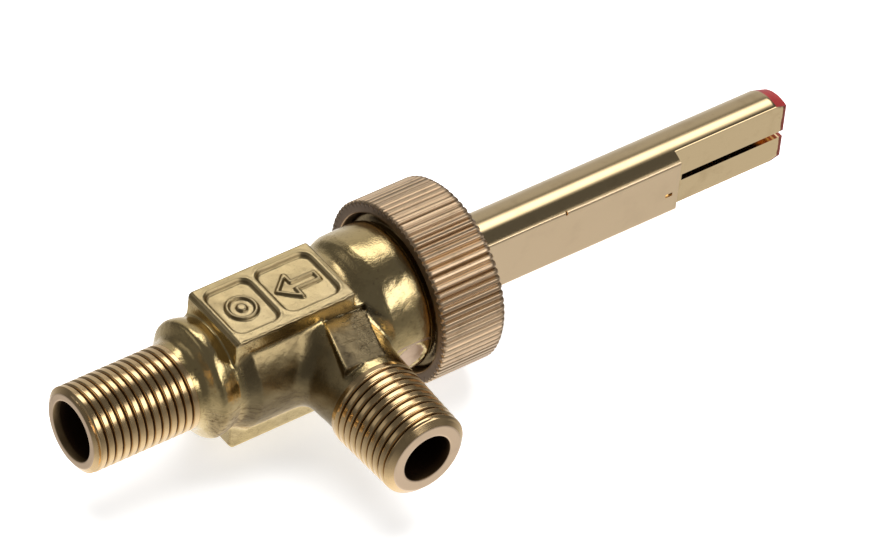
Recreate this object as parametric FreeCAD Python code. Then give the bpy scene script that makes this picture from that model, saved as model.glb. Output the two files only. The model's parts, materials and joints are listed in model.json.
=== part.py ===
"""Push-and-turn gas burner valve: brass body, taper plug, knurled bonnet and D-flat stem.

Millimetres. The origin is the centre of the outlet nipple's end face.
+X runs along the stem, away from the outlet, +Z is up through the top pad,
and the inlet leg points along -Y.
"""
import FreeCAD, Part
import math
import os

from FreeCAD import Vector

os.makedirs("parts", exist_ok=True)

# ---- driving dimensions ------------------------------------------------------------
# Lengths along the main axis, from the outlet's end face.
leg_x = 28.50                # inlet leg's axis
outlet_thread_end = 12.30    # last thread, at the root of the neck
collar_x = 14.30             # crest of the collar
pad_x = (16.70, 31.40)       # pads' two ends
barrel_x = 34.90             # where the barrel reaches its full radius
barrel_end = 39.10
spigot_x = 39.90             # male thread that carries the bonnet
body_end = 44.90
bonnet_x = (38.98, 46.89)
hub_end = 47.90
stem_end = 89.70

# Radii and half-widths.
outlet_r = 4.72              # 3/8-27 thread, over its crests
outlet_rim_r = 4.03
outlet_chamfer = 0.45
outlet_bore_r = 3.26
collar_r = 6.40
collar_round = 1.20
neck_fillet = 1.25
shoulder_round = 1.90
middle_start_r = 6.05        # middle of the body, at the pads' outlet end
middle_r = 7.00
barrel_r = 8.10
groove_r = 7.70              # relief groove in front of the bonnet's thread
spigot_r = 8.70
spigot_chamfer = (0.30, 0.40)
bonnet_r = 10.15             # over the knurl
bonnet_mouth_r = 8.95
bonnet_chamfer = (0.45, 0.42)
bonnet_roof_x = 45.40
hub_r = 6.30
hub_chamfer = 0.30
hub_bore_r = 5.20
thread_gap = 0.03
stem_r = 4.17
tail_r = 3.00

# Pads on the top and the bottom of the body.
pad_half_width = 4.44
pad_height = 7.49
pad_chamfer = 0.50
recess_depth = 0.45
recess_half_width = 3.35
recess_corner = 1.10
recess_wall = 0.95           # left standing at the pad's two ends
recess_ridge_x = (23.05, 23.95)
motif_height = 0.28
ring_sign_r = (1.30, 1.75)
dot_sign_r = 0.50
arrow_x = (-2.30, -0.60, 2.10)
arrow_half_width = (1.50, 0.45)

# Inlet leg, a 1/8-27 taper thread.
leg_end_y = -21.85
leg_thread_y = -12.80
leg_end_r = 4.89
leg_big_r = 5.17
leg_neck_y = -11.80
leg_neck_r = 4.90
leg_waist_y = -8.00
leg_waist_r = 5.20
leg_root_r = 6.20
leg_rim_r = 4.03
leg_chamfer = 0.65
leg_bore_r = 2.77

# Flat web between the top pad and the leg, and the small flat beside the leg.
web_top = 5.20
web_y = (-3.94, -11.10)
web_left = (-1.15, -3.00)    # from the leg's axis, at the web's two ends
web_right = (3.50, 1.40)
side_flat_x = 33.00
side_flat_y = -7.85
side_flat_half = 4.00

# Plug, its seat and the chamber behind it.
seat_x = (19.50, 34.50)
seat_r = (3.95, 4.95)
chamber_r = 6.20
ledge_x = 43.45
ledge_r = 7.05
plug_gap = 0.03              # lapped and greased taper
plug_head_end = 36.10
plug_nose_gap = 0.60
plug_bore_r = 2.40
plug_bore_end = 31.70
port_r = 2.00
low_flame_r = 0.45
low_flame_turn = 38.0        # degrees from the full port
slot_bottom = 33.10
slot_half = 1.05

# Stem, measured from its axis to each flat.
shoulder_x = 43.60
flat_start = 49.50
flat_step_x = 59.90
deep_x = 74.80
flat_y = (2.51, 2.59)
deep_flat_y = 1.36
stem_slot_x = 76.20
stem_slot_z = (-0.80, 0.00)
tip_r = 3.80
tip_chamfer = 1.40
edge_chamfer = 0.30
paint_thickness = 0.12
paint_inset = 0.10
dimple_x = (73.15, 74.05)
dimple_z = (-0.95, -0.50)
dimple_depth = 0.25
push_travel = 1.60
tongue_x = 34.90
tail_x = plug_head_end + push_travel + 0.20
tongue_half = 1.00
tongue_height = 4.20
pin_x = 42.40
pin_r = 1.00
pin_half = 5.80
pin_chamfer = 0.20

# Parts under the bonnet, from the plug outwards.
washer_r = (4.40, 5.90)
washer_end = 36.50
spring_end = 40.78
spring_mean_r = 5.25
spring_wire_r = 0.35
spring_turns = 3.2
spring_plate_x = (40.80, 41.38)
stop_plate_end = 44.40
stop_bore_r = 4.30
key_half_width = 1.25
key_reach = 7.60
key_gap = 0.05
lug_start = 41.50
lug_r = (4.70, 6.10)
cone_step = 0.23             # rise of the conical washer
cone_thickness = 0.25
cone_r = (5.10, 6.80)
gasket_r = (4.60, 8.55)
seal_washer_end = 45.70
seal_washer_r = (4.30, 5.17)
seal_x = 46.20
seal_mean_r = 4.71
seal_section_r = 0.48
bushing_start = 46.80

BEYOND = 30.0                # long enough for a cut to pass right through

X_AXIS, Y_AXIS, Z_AXIS = Vector(1, 0, 0), Vector(0, 1, 0), Vector(0, 0, 1)
ORIGIN = Vector(0, 0, 0)


# ---- helpers -----------------------------------------------------------------------
def ring_profile(points):
    """Turn a closed (x, r) outline about the main axis."""
    corners = [Vector(x, r, 0) for x, r in points]
    face = Part.Face(Part.makePolygon(corners + corners[:1]))
    return face.revolve(ORIGIN, X_AXIS, 360)


def rod(x0, x1, r, r_end=None):
    """A round bar, or a cone, along the main axis."""
    if r_end is None or abs(r_end - r) < 1e-6:
        return Part.makeCylinder(r, x1 - x0, Vector(x0, 0, 0), X_AXIS)
    return Part.makeCone(r, r_end, x1 - x0, Vector(x0, 0, 0), X_AXIS)


def tube(x0, x1, r_in, r_out):
    return rod(x0, x1, r_out).cut(rod(x0, x1, r_in))


def block(x, y, z):
    """A box from three (low, high) pairs."""
    return Part.makeBox(x[1] - x[0], y[1] - y[0], z[1] - z[0], Vector(x[0], y[0], z[0]))


def leg_rod(y0, y1, r, r_end=None):
    """A round bar, or a cone, along the leg from y0 down to y1."""
    base = Vector(leg_x, y0, 0)
    if r_end is None:
        return Part.makeCylinder(r, y0 - y1, base, -Y_AXIS)
    return Part.makeCone(r, r_end, y0 - y1, base, -Y_AXIS)


def prism(corners, z0, z1):
    """An upright prism over an (x, y) outline."""
    points = [Vector(x, y, z0) for x, y in corners]
    return Part.Face(Part.makePolygon(points + points[:1])).extrude(Vector(0, 0, z1 - z0))


def rounded_box(x, y, z, radius):
    """A box whose four upright edges are rounded."""
    box = block(x, y, z)
    upright = [e for e in box.Edges if abs(e.tangentAt(e.FirstParameter).z) > 0.99]
    return box.makeFillet(radius, upright)


def save(name, shape):
    shape = shape.removeSplitter()
    if shape.ShapeType == "Compound" and len(shape.Solids) == 1:
        shape = shape.Solids[0]
    if not shape.isValid() or not shape.Solids:
        raise ValueError("bad shape: " + name)
    shape.exportStep("parts/" + name + ".step")
    print(name, "solids", len(shape.Solids), "volume", round(shape.Volume, 2))


# ---- valve body --------------------------------------------------------------------
def arc_points(centre, radius, start, stop, count):
    """Points of an arc in the (x, r) half-plane, by angle in degrees."""
    points = []
    for step in range(count + 1):
        angle = math.radians(start + (stop - start) * step / count)
        points.append((centre[0] + radius * math.cos(angle), centre[1] + radius * math.sin(angle)))
    return points


def body_outline():
    """The turned outline: nipple, collar, middle, barrel, groove and threaded spigot."""
    fillet = arc_points((outlet_thread_end + 0.10, outlet_r + neck_fillet), neck_fillet, -90, -10, 6)
    crest = arc_points((collar_x, collar_r - collar_round), collar_round, 150, 90, 5)
    shoulder = arc_points((barrel_x, barrel_r - shoulder_round), shoulder_round, 165, 90, 6)
    outline = [(0.0, 0.0), (0.0, outlet_rim_r), (outlet_chamfer, outlet_r)]
    outline += fillet + crest
    outline += [(pad_x[0], middle_start_r), (pad_x[0] + 2.2, middle_r), (pad_x[1] + 0.6, middle_r - 0.2)]
    outline += shoulder
    outline += [(barrel_end, barrel_r), (barrel_end, groove_r), (spigot_x, groove_r)]
    front, back = spigot_chamfer
    outline += [(spigot_x, spigot_r - front), (spigot_x + front, spigot_r)]
    outline += [(body_end - back, spigot_r), (body_end, spigot_r - back), (body_end, 0.0)]
    return outline


def pad(side):
    """One pad: side is 1 for the top and -1 for the bottom."""
    low, high = (0.0, pad_height) if side > 0 else (-pad_height, 0.0)
    shape = block(pad_x, (-pad_half_width, pad_half_width), (low, high))
    outer = [e for e in shape.Edges
             if abs(e.tangentAt(e.FirstParameter).y) > 0.99
             and abs(e.CenterOfMass.x - pad_x[0]) < 0.01
             and abs(e.CenterOfMass.z - side * pad_height) < 0.01]
    return shape.makeChamfer(pad_chamfer, outer)


def pad_recesses():
    """Two shallow pockets in the top pad, each with a plain raised sign in it."""
    floor = pad_height - recess_depth
    width = (-recess_half_width, recess_half_width)
    rise = (floor, pad_height + 1)
    small_x = (pad_x[0] + recess_wall, recess_ridge_x[0])
    large_x = (recess_ridge_x[1], pad_x[1] - recess_wall)
    small = rounded_box(small_x, width, rise, recess_corner)
    large = rounded_box(large_x, width, rise, recess_corner)
    centre = Vector(sum(small_x) / 2, 0, floor)
    ring = Part.makeCylinder(ring_sign_r[1], motif_height, centre)
    ring = ring.cut(Part.makeCylinder(ring_sign_r[0], motif_height, centre))
    dot = Part.makeCylinder(dot_sign_r, motif_height, centre)
    point, neck, tail = [sum(large_x) / 2 + step for step in arrow_x]
    head, shank = arrow_half_width
    arrow = [(tail, -shank), (neck, -shank), (neck, -head), (point, 0.0),
             (neck, head), (neck, shank), (tail, shank)]
    return small.cut(ring).cut(dot), large.cut(prism(arrow, floor, floor + motif_height))


def leg_and_web():
    stations = [(0.0, leg_root_r), (leg_waist_y, leg_waist_r), (leg_neck_y, leg_neck_r)]
    thread = [(leg_thread_y, leg_big_r), (leg_end_y + leg_chamfer, leg_end_r), (leg_end_y, leg_rim_r)]
    runs = [leg_rod(leg_neck_y, leg_thread_y, leg_neck_r)]
    for line in (stations, thread):
        for (start, r), (end, r_end) in zip(line, line[1:]):
            runs.append(leg_rod(start, end, r, r_end))
    web = prism([(leg_x + web_left[0], web_y[0]), (leg_x + web_left[1], web_y[1]),
                 (leg_x + web_right[1], web_y[1]), (leg_x + web_right[0], web_y[0])], 0.0, web_top)
    return web.fuse(runs)


def valve_body():
    body = ring_profile(body_outline())
    body = body.fuse([pad(1), pad(-1), leg_and_web()])
    small, large = pad_recesses()
    body = body.cut([small, large])
    mouth = 0.3
    # Passage from the outlet, the plug's taper seat, and the chamber behind it.
    body = body.cut(rod(0, mouth, outlet_bore_r + mouth, outlet_bore_r))
    body = body.cut(rod(-1, seat_x[0] + 0.1, outlet_bore_r))
    body = body.cut(rod(*seat_x, *seat_r))
    body = body.cut(rod(seat_x[1], BEYOND + seat_x[1], chamber_r))
    body = body.cut(rod(ledge_x, BEYOND + ledge_x, ledge_r))
    body = body.cut(leg_rod(-2.0, -BEYOND, leg_bore_r))
    # Key notches for the stop plate, and the small flat beside the leg.
    half, reach = key_half_width + key_gap, key_reach + key_gap
    body = body.cut(block((ledge_x, BEYOND + ledge_x), (-half, half), (-reach, reach)))
    flat_z = (-side_flat_half, side_flat_half)
    return body.cut(block((side_flat_x, barrel_end), (-BEYOND, side_flat_y), flat_z))


# ---- turning parts -----------------------------------------------------------------
def taper_plug():
    slope = (seat_r[1] - seat_r[0]) / (seat_x[1] - seat_x[0])
    nose = seat_x[0] + plug_nose_gap
    nose_r = seat_r[0] + plug_nose_gap * slope - plug_gap
    plug = rod(nose, seat_x[1], nose_r, seat_r[1] - plug_gap)
    plug = plug.fuse(rod(seat_x[1], plug_head_end, seat_r[1] - plug_gap))
    plug = plug.cut(rod(0, plug_bore_end, plug_bore_r))
    plug = plug.cut(Part.makeCylinder(port_r, BEYOND, Vector(leg_x, 0, 0), Z_AXIS))
    # Low-flame hole, a little before the full port reaches the leg.
    low_angle = math.radians(90 + low_flame_turn)
    low_way = Vector(0, math.cos(low_angle), math.sin(low_angle))
    plug = plug.cut(Part.makeCylinder(low_flame_r, BEYOND, Vector(leg_x, 0, 0), low_way))
    return plug.cut(block((slot_bottom, BEYOND + slot_bottom), (-slot_half, slot_half), (-BEYOND, BEYOND)))


def coil(x0, x1, mean_r, wire_r, turns):
    """A closed-end compression spring from x0 to x1."""
    length = x1 - x0 - 2 * wire_r
    pitch = length / turns
    path = Part.makeHelix(pitch, length, mean_r)
    section = Part.Wire(Part.makeCircle(wire_r, Vector(mean_r, 0, 0), Y_AXIS))
    solid = Part.Wire(path.Edges).makePipeShell([section], True, True)
    solid.rotate(ORIGIN, Y_AXIS, 90)
    solid.translate(Vector(x0 + wire_r, 0, 0))
    return solid


# ---- stem --------------------------------------------------------------------------
def flat_cuts():
    """The space removed from the stem's front for its flats and its split end."""
    across = (-BEYOND, BEYOND)
    end = stem_end + 1
    return [block((flat_start, flat_step_x), (-BEYOND, -flat_y[0]), across),
            block((flat_step_x, end), (-BEYOND, -flat_y[1]), across),
            block((deep_x, end), (-BEYOND, -deep_flat_y), across),
            block((stem_slot_x, end), across, stem_slot_z)]


def stem():
    shaft_end = stem_end - paint_thickness
    edge = edge_chamfer
    outline = [(tail_x, 0), (tail_x, tail_r - edge), (tail_x + edge, tail_r), (shoulder_x, tail_r),
               (shoulder_x, stem_r - edge), (shoulder_x + edge, stem_r),
               (stem_end - tip_chamfer, stem_r), (shaft_end, tip_r - paint_inset), (shaft_end, 0)]
    shape = ring_profile(outline)
    tongue = block((tongue_x, tail_x + 0.5), (-tongue_half, tongue_half),
                   (-tongue_height, tongue_height))
    tongue = tongue.common(rod(tongue_x, tail_x, tongue_height + 0.05))
    shape = shape.fuse(tongue)
    shape = shape.cut(flat_cuts())
    shape = shape.cut(Part.makeCylinder(pin_r, 2 * BEYOND, Vector(pin_x, 0, -BEYOND), Z_AXIS))
    return shape.cut(block(dimple_x, (-BEYOND, dimple_depth - flat_y[1]), dimple_z))


def tip_paint():
    start = stem_end - tip_chamfer
    inner = stem_end - paint_thickness
    shape = ring_profile([(start, stem_r), (stem_end, tip_r), (stem_end, 0),
                          (inner, 0), (inner, tip_r - paint_inset)])
    return shape.cut(flat_cuts())


def drive_pin():
    pin = Part.makeCylinder(pin_r, 2 * pin_half, Vector(pin_x, 0, -pin_half), Z_AXIS)
    rims = [e for e in pin.Edges if abs(e.CenterOfMass.z) > pin_half - 0.1
            and e.Curve.TypeId == "Part::GeomCircle"]
    return pin.makeChamfer(pin_chamfer, rims)


# ---- parts under the bonnet --------------------------------------------------------
def stop_plate():
    """Keyed plate whose two lugs stop the drive pin after a quarter turn."""
    body = tube(ledge_x, stop_plate_end, stop_bore_r, ledge_r - key_gap)
    keys = block((ledge_x, stop_plate_end), (-key_half_width, key_half_width), (-key_reach, key_reach))
    keys = keys.cut(rod(0, stem_end, lug_r[1]))
    lug = tube(lug_start, ledge_x + 0.2, *lug_r)
    side = pin_r + 0.05
    upper = lug.common(block((0, stem_end), (side, BEYOND), (side, BEYOND)))
    lower = lug.common(block((0, stem_end), (-BEYOND, -side), (-BEYOND, -side)))
    return body.fuse([keys, upper, lower])


def cone_washer():
    near, far = cone_r
    front = stop_plate_end
    return ring_profile([(front, near), (front + cone_thickness, near),
                         (front + cone_thickness + cone_step, far), (front + cone_step, far)])


def knurled_bonnet():
    """Cup-shaped nut: open towards the body, closed round the stem with a short hub."""
    front, back = bonnet_x
    narrow, wide = bonnet_chamfer
    thread_r = spigot_r + thread_gap
    return ring_profile([(front, bonnet_mouth_r), (front, bonnet_r - narrow), (front + narrow, bonnet_r),
                         (back - wide, bonnet_r), (back, bonnet_r - wide), (back, hub_r),
                         (hub_end - hub_chamfer, hub_r), (hub_end, hub_r - hub_chamfer),
                         (hub_end, hub_bore_r), (bonnet_roof_x, hub_bore_r),
                         (bonnet_roof_x, thread_r), (front + 0.7, thread_r)])


def stem_seal():
    """Rubber ring round the stem, in the bonnet's bore."""
    return Part.makeTorus(seal_mean_r, seal_section_r, Vector(seal_x, 0, 0), X_AXIS)


save("valve_body", valve_body())
save("taper_plug", taper_plug())
save("thrust_washer", tube(plug_head_end, washer_end, *washer_r))
save("stem_spring", coil(washer_end, spring_end, spring_mean_r, spring_wire_r, spring_turns))
save("spring_plate", tube(*spring_plate_x, tail_r + 0.02, washer_r[1]))
save("stem", stem())
save("drive_pin", drive_pin())
save("tip_paint", tip_paint())
save("stop_plate", stop_plate())
save("cone_washer", cone_washer())
save("bonnet_gasket", tube(body_end, bonnet_roof_x, *gasket_r))
save("seal_washer", tube(bonnet_roof_x, seal_washer_end, *seal_washer_r))
save("stem_seal", stem_seal())
save("stem_bushing", tube(bushing_start, hub_end, stem_r + 0.05, hub_bore_r))
save("knurled_bonnet", knurled_bonnet())
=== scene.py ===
"""Looks of a brass push-and-turn gas burner valve, laid out as an add-on and run as a script."""
import json
import math

import bpy
import numpy as np
from bpy.props import FloatProperty, FloatVectorProperty, IntProperty, PointerProperty
from mathutils import Matrix, Vector


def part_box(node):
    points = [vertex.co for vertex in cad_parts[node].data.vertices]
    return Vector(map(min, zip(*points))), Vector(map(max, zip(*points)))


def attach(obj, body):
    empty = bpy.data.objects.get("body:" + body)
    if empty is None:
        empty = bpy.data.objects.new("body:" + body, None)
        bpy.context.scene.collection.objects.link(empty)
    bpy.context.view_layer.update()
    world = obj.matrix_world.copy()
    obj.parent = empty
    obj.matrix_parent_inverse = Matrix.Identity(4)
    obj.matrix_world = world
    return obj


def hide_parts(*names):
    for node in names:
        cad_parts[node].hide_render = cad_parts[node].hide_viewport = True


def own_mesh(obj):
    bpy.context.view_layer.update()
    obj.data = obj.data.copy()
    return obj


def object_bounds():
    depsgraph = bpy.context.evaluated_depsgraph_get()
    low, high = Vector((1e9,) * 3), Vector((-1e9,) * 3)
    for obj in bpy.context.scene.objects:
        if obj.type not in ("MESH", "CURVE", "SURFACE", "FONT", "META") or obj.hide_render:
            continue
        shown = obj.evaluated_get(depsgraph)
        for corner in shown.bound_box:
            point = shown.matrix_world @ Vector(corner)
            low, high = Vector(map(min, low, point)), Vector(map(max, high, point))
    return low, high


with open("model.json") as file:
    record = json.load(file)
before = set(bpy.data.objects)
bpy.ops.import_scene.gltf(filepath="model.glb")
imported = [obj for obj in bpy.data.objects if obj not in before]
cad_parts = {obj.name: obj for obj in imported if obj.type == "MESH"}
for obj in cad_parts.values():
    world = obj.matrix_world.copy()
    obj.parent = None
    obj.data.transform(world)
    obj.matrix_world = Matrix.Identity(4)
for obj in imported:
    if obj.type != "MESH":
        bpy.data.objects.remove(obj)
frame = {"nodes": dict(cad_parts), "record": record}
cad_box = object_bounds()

bl_info = {
    "name": "Gas Burner Valve",
    "version": (1, 0, 0),
    "blender": (4, 5, 0),
    "location": "3D View > Sidebar > Valve",
    "description": "Makes the pieces, finishes and stage of a brass gas burner valve",
    "category": "Object",
}

MM = 0.001                      # one millimetre; shapes below are worked out in millimetres

# Places along the stem's axis, from the outlet's end face, and distances from that axis.
LEG_X = 28.5
PAD_X = (16.7, 31.4)
PAD_HALF = 4.44
PAD_TOP = 7.49
BARREL_END = 39.1
BONNET_X = (38.98, 46.89)
BONNET_R = 10.15
BONNET_MOUTH_R = 8.95
BONNET_THREAD_R = 8.73
BONNET_ROOF_X = 45.42
HUB_END = 47.9
HUB_R, HUB_BORE_R = 6.30, 5.22
STEM_R = 4.17
STEM_END = 89.7
NECK_X = (43.6, 43.9)           # the shoulder between the stem's tail and its bar
TAIL_R = 3.0
FLAT_START, FLAT_STEP, DEEP_START, SPLIT_START = 49.5, 59.9, 74.8, 76.2
FLAT_DEPTHS = (2.58, 2.65, 1.36)

# The inlet leg, along its way out to the front.
LEG_END = -21.85
LEG_NECK = -12.2
TAPER = 1 / 32

# Passages: both bores, the plug's seat, the spring chamber and the stop plate's ledge.
OUTLET_BORE_R, LEG_BORE_R = 3.26, 2.77
SEAT_X, SEAT_R = (19.5, 34.5), (3.95, 4.95)
CHAMBER_R = 6.20
LEDGE_X, LEDGE_R = 43.45, 7.05
OUTLET_R = 4.72                 # over the outlet's thread
THREAD_GUARD = 3.9              # threads are cut outside this radius only

# The web between the top pad and the leg: where it starts, its length, its edges at the pad,
# how far each edge leans over that length, and the height and fall of its face.
WEB_Y, WEB_LENGTH = 4.6, 6.5
WEB_LEFT, WEB_RIGHT = 27.35, 32.6
WEB_LEAN_LEFT, WEB_LEAN_RIGHT = 1.85, 2.2
WEB_TOP, WEB_FALL, WEB_TILT = 5.34, 0.16, 0.11

# The barrel's small milled flat: its way out, to front and down, its depth, middle and radius.
SPOT_WAY = (0.982, 0.190)
SPOT_OUT = 7.84
SPOT_X, SPOT_R = 36.45, 1.85

# Tones that finishes blend in beside the colours a user may change.
WARM_PATCH = (0.80, 0.60, 0.28)
# Painted shade for the lee of the pad and the web's face.
LEE_AND_WEB_SHADE = (0.21, 0.16, 0.09)
PAD_TONE = (0.60, 0.48, 0.28)
# Painted shade on the walls of the pad's pockets.
POCKET_WALL_SHADE = (0.20, 0.13, 0.055)
MILLED_SPOT = (0.78, 0.56, 0.42)
# Painted shade inside the passages and behind the bonnet.
PASSAGE_SHADE = (0.07, 0.035, 0.015)
# Dirt and painted shade in the grooves of threads and knurl.
GROOVE_DIRT_AND_SHADE = (0.12, 0.065, 0.04)
# Painted shade inside bores.
BORE_SHADE = (0.06, 0.03, 0.013)
CUT_FACE = (0.92, 0.70, 0.52)
# Painted shade on the bonnet's front face.
BONNET_FACE_SHADE = (0.13, 0.09, 0.075)
DRAWN_STAIN = (0.42, 0.27, 0.11)
MILLED_FLAT = (0.95, 0.72, 0.48)

# The studio's softboxes: brightness, direction, half width, half height and soft edge.
SOFT_BOXES = ((2.1, (0.312, 0.511, 0.808), 0.34, 0.19, 0.11),
              (2.1, (0.42, -0.66, 0.60), 0.50, 0.19, 0.07),
              (0.06, (0.45, -0.88, 0.10), 0.60, 0.30, 0.30),
              (0.36, (0.42, 0.86, 0.22), 0.45, 0.40, 0.20),
              (0.25, (-0.66, 0.56, 0.46), 0.35, 0.20, 0.10))


# ---- sizes and colours that a user would change
def length(name, text, value, **limits):
    return FloatProperty(name=name, description=text, default=value, unit="LENGTH",
                         precision=6, **limits)


def colour(name, text, value):
    return FloatVectorProperty(name=name, description=text, default=value, subtype="COLOR",
                               size=3, min=0.0, max=1.0)


class ValveSizes(bpy.types.PropertyGroup):
    thread_pitch: length("Thread pitch", "Pitch of both pipe threads, 27 turns to the inch",
                         0.00094074)
    thread_depth: length("Thread depth", "Depth of both pipe threads", 0.00036)
    knurl_count: IntProperty(name="Knurl ridges", description="Ridges round the bonnet",
                             default=75, min=12, max=200)
    knurl_depth: length("Knurl depth", "Height of the bonnet's ridges", 0.00032)
    body_step: length("Body step", "Cell size of the forged body's surface", 0.00020)
    forging_wave: length("Forging waviness", "How far the forged skin wanders", 0.000028)
    coil_wire: length("Spring wire", "Wire radius of the stem spring", 0.00035)
    coil_turns: FloatProperty(name="Spring turns", description="Turns of the stem spring",
                              default=3.2)


class ValveColours(bpy.types.PropertyGroup):
    forged: colour("Forged brass", "Colour of the tumbled forging", (0.78, 0.60, 0.31))
    drawn: colour("Drawn brass", "Colour of the stem", (0.82, 0.62, 0.35))
    turned: colour("Turned brass", "Colour of the bonnet", (0.76, 0.55, 0.35))
    threaded: colour("Threaded brass", "Colour of the pipe threads", (0.93, 0.655, 0.34))
    tarnish: colour("Tarnish", "Darker tone in hollows and stains", (0.20, 0.11, 0.035))
    steel: colour("Plated steel", "Colour of washers and pin", (0.56, 0.55, 0.52))
    paint: colour("Tip paint", "Mark on the stem's tip", (0.24, 0.022, 0.022))
    rubber: colour("Rubber", "Seal ring", (0.02, 0.02, 0.022))
    fibre: colour("Fibre", "Bonnet gasket", (0.16, 0.07, 0.035))
    floor: colour("Floor", "Pale floor of the stage", (0.86, 0.86, 0.86))


class ValveStudio(bpy.types.PropertyGroup):
    lens: FloatProperty(name="Focal length", description="Lens of the camera, in millimetres",
                        default=299.08)
    overhead: FloatProperty(name="Overhead light", default=14.0,
                            description="Power of the light over the floor, in watts")


# ---- node trees
class Wire:
    """One socket of a node tree. Arithmetic on it adds Math nodes."""

    def __init__(self, tree, socket):
        self.tree = tree
        self.socket = socket

    def math(self, operation, *others):
        values = dict(enumerate((self,) + others))
        return self.node("ShaderNodeMath", {"operation": operation}, values)

    def node(self, kind, settings=None, values=None, out=0):
        """Any node of this tree: settings first, then the values or links of its sockets."""
        made = self.tree.nodes.new(kind)
        for key, value in (settings or {}).items():
            if key == "stops":
                set_stops(made.color_ramp, value)
            else:
                setattr(made, key, value)
        for key, value in (values or {}).items():
            if isinstance(value, Wire):
                self.tree.links.new(value.socket, made.inputs[key])
            else:
                made.inputs[key].default_value = value
        return Wire(self.tree, made.outputs[out])

    def __add__(self, other):
        return self.math("ADD", other)

    def __sub__(self, other):
        return self.math("SUBTRACT", other)

    def __rsub__(self, other):
        return self.node("ShaderNodeMath", {"operation": "SUBTRACT"}, {0: other, 1: self})

    def __mul__(self, other):
        return self.math("MULTIPLY", other)

    def __truediv__(self, other):
        return self.math("DIVIDE", other)

    __radd__ = __add__
    __rmul__ = __mul__

    def step(self, low, high):
        """0 below low, 1 above high, smooth between; low may be the larger."""
        return self.node("ShaderNodeMapRange", {"interpolation_type": "SMOOTHSTEP"},
                         {"Value": self, "From Min": low, "From Max": high})

    def clamp(self):
        return self.node("ShaderNodeClamp", None, {0: self})


def rgba(value):
    """A grey number or a colour, as the four numbers that a socket takes."""
    if isinstance(value, (int, float)):
        value = (value, value, value)
    return (*value[:3], 1.0)


def set_stops(ramp, stops):
    while len(ramp.elements) > 1:
        ramp.elements.remove(ramp.elements[0])
    ramp.elements[0].position, ramp.elements[0].color = stops[0][0], rgba(stops[0][1])
    for place, value in stops[1:]:
        ramp.elements.new(place).color = rgba(value)


# ---- finishes
def new_material(name, metallic):
    """A Principled material: returns it, its shader node and a wire to its object coordinates."""
    material = bpy.data.materials.new(name)
    material.use_nodes = True
    shader = material.node_tree.nodes["Principled BSDF"]
    shader.inputs["Metallic"].default_value = metallic
    start = Wire(material.node_tree, shader.outputs[0])
    return material, shader, start.node("ShaderNodeTexCoord", None, None, "Object")


def connect(shader, wires):
    for key, wire in wires.items():
        wire.tree.links.new(wire.socket, shader.inputs[key])


def noise(place, scale, detail=3.0, rough=0.5, stretch=None):
    """Noise on object coordinates; stretch squeezes the pattern along each axis."""
    if stretch is not None:
        place = place.node("ShaderNodeMapping", None, {"Vector": place, "Scale": stretch})
    return place.node("ShaderNodeTexNoise", None,
                      {"Vector": place, "Scale": scale, "Detail": detail, "Roughness": rough})


def blend_colours(factor, first, second):
    first = first if isinstance(first, Wire) else rgba(first)
    second = second if isinstance(second, Wire) else rgba(second)
    return factor.node("ShaderNodeMix", {"data_type": "RGBA"},
                       {0: factor, 6: first, 7: second}, 2)


def bump(height, strength, distance, normal=None):
    values = {"Height": height, "Strength": strength, "Distance": distance}
    if normal is not None:
        values["Normal"] = normal
    return height.node("ShaderNodeBump", None, values)


def split(place):
    return [place.node("ShaderNodeSeparateXYZ", None, {0: place}, axis) for axis in "XYZ"]


def split_mm(place):
    """The three coordinates in millimetres."""
    return [axis * (1.0 / MM) for axis in split(place)]


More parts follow.
